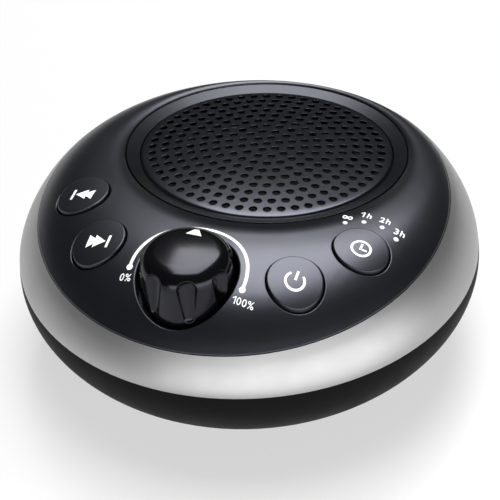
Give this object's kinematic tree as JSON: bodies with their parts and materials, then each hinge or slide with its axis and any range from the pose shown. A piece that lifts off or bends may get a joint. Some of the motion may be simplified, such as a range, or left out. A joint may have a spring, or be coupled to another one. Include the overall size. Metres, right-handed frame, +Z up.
{
  "type": "white noise sound machine",
  "caption": "Round pebble-shaped bedside white noise machine: tilted speaker grille, fluted volume knob, push buttons and timer lights in a dark top over a silver band and a dark base.",
  "frame": {"origin": "centre of the round body, on the surface that it stands on", "axes": "+Z up, -Y the front with the volume knob, +X the user's right"},
  "size_m": [0.1204, 0.1204, 0.0553],
  "materials": {
    "shell_black": "fine matte texture",
    "rubber": "matte",
    "band_silver": "satin metallised lacquer",
    "panel_black": "satin",
    "bezel_black": "satin",
    "grille_paint": "satin powder coat",
    "knob_black": "gloss",
    "button_black": "satin",
    "switch_plastic": "matte",
    "clear_plastic": "clear",
    "led": "diffuse",
    "board": "solder mask",
    "chip": "matte",
    "can_aluminium": "drawn",
    "steel": "zinc plated",
    "foam": "foam",
    "frame_steel": "black paint",
    "surround_rubber": "matte",
    "cone_paper": "pressed paper",
    "coil": "enamelled copper wire",
    "spider_cloth": "impregnated cloth",
    "ferrite": "sintered"
  },
  "bodies": {
    "case": {"lower_shell": "shell_black", "rubber_feet": "rubber", "silver_band": "band_silver", "top_panel": "panel_black", "grille_bezel": "bezel_black", "grille_plate": "grille_paint", "volume_pot": "switch_plastic", "tact_switches": "switch_plastic", "light_guide": "clear_plastic", "timer_leds": "led", "control_board": "board", "board_chips": "chip", "board_capacitors": "can_aluminium", "case_screws": "steel", "board_screws": "steel", "speaker_screws": "steel", "power_board_screws": "steel", "speaker_gasket": "foam", "speaker_frame": "frame_steel", "speaker_surround": "surround_rubber", "speaker_spider": "spider_cloth", "speaker_plate": "steel", "speaker_magnet": "ferrite", "speaker_yoke": "steel", "power_board": "board", "power_socket": "steel", "socket_tongue": "chip"},
    "knob": {"volume_knob": "knob_black", "pot_shaft": "steel"},
    "power_key": {"power_button": "button_black", "power_button_plunger": "switch_plastic"},
    "timer_key": {"timer_button": "button_black", "timer_button_plunger": "switch_plastic"},
    "next_key": {"next_button": "button_black", "next_button_plunger": "switch_plastic"},
    "previous_key": {"previous_button": "button_black", "previous_button_plunger": "switch_plastic"},
    "cone": {"speaker_cone": "cone_paper", "dust_cap": "cone_paper", "voice_coil": "coil"}
  },
  "joints": [
    {"name": "volume_turn", "type": "hinge", "parent": "case", "child": "knob", "pos_m": [0, -0.0398, 0.047], "axis": [0, 0, -1], "range_deg": [-90, 90]},
    {"name": "power_press", "type": "slide", "parent": "case", "child": "power_key", "axis": [0, 0, -1], "range_m": [0, 0.0005], "stiffness_N_per_m": 1600, "springref_m": -0.0005},
    {"name": "timer_press", "type": "slide", "parent": "case", "child": "timer_key", "axis": [0, 0, -1], "range_m": [0, 0.0005], "stiffness_N_per_m": 1600, "springref_m": -0.0005},
    {"name": "next_press", "type": "slide", "parent": "case", "child": "next_key", "axis": [0, 0, -1], "range_m": [0, 0.0005], "stiffness_N_per_m": 1600, "springref_m": -0.0005},
    {"name": "previous_press", "type": "slide", "parent": "case", "child": "previous_key", "axis": [0, 0, -1], "range_m": [0, 0.0005], "stiffness_N_per_m": 1600, "springref_m": -0.0005},
    {"name": "cone_stroke", "type": "slide", "parent": "case", "child": "cone", "axis": [0, 0.1184, 0.993], "range_m": [-0.001, 0.001], "stiffness_N_per_m": 1000, "deforming": ["speaker_surround", "speaker_spider"]}
  ]
}
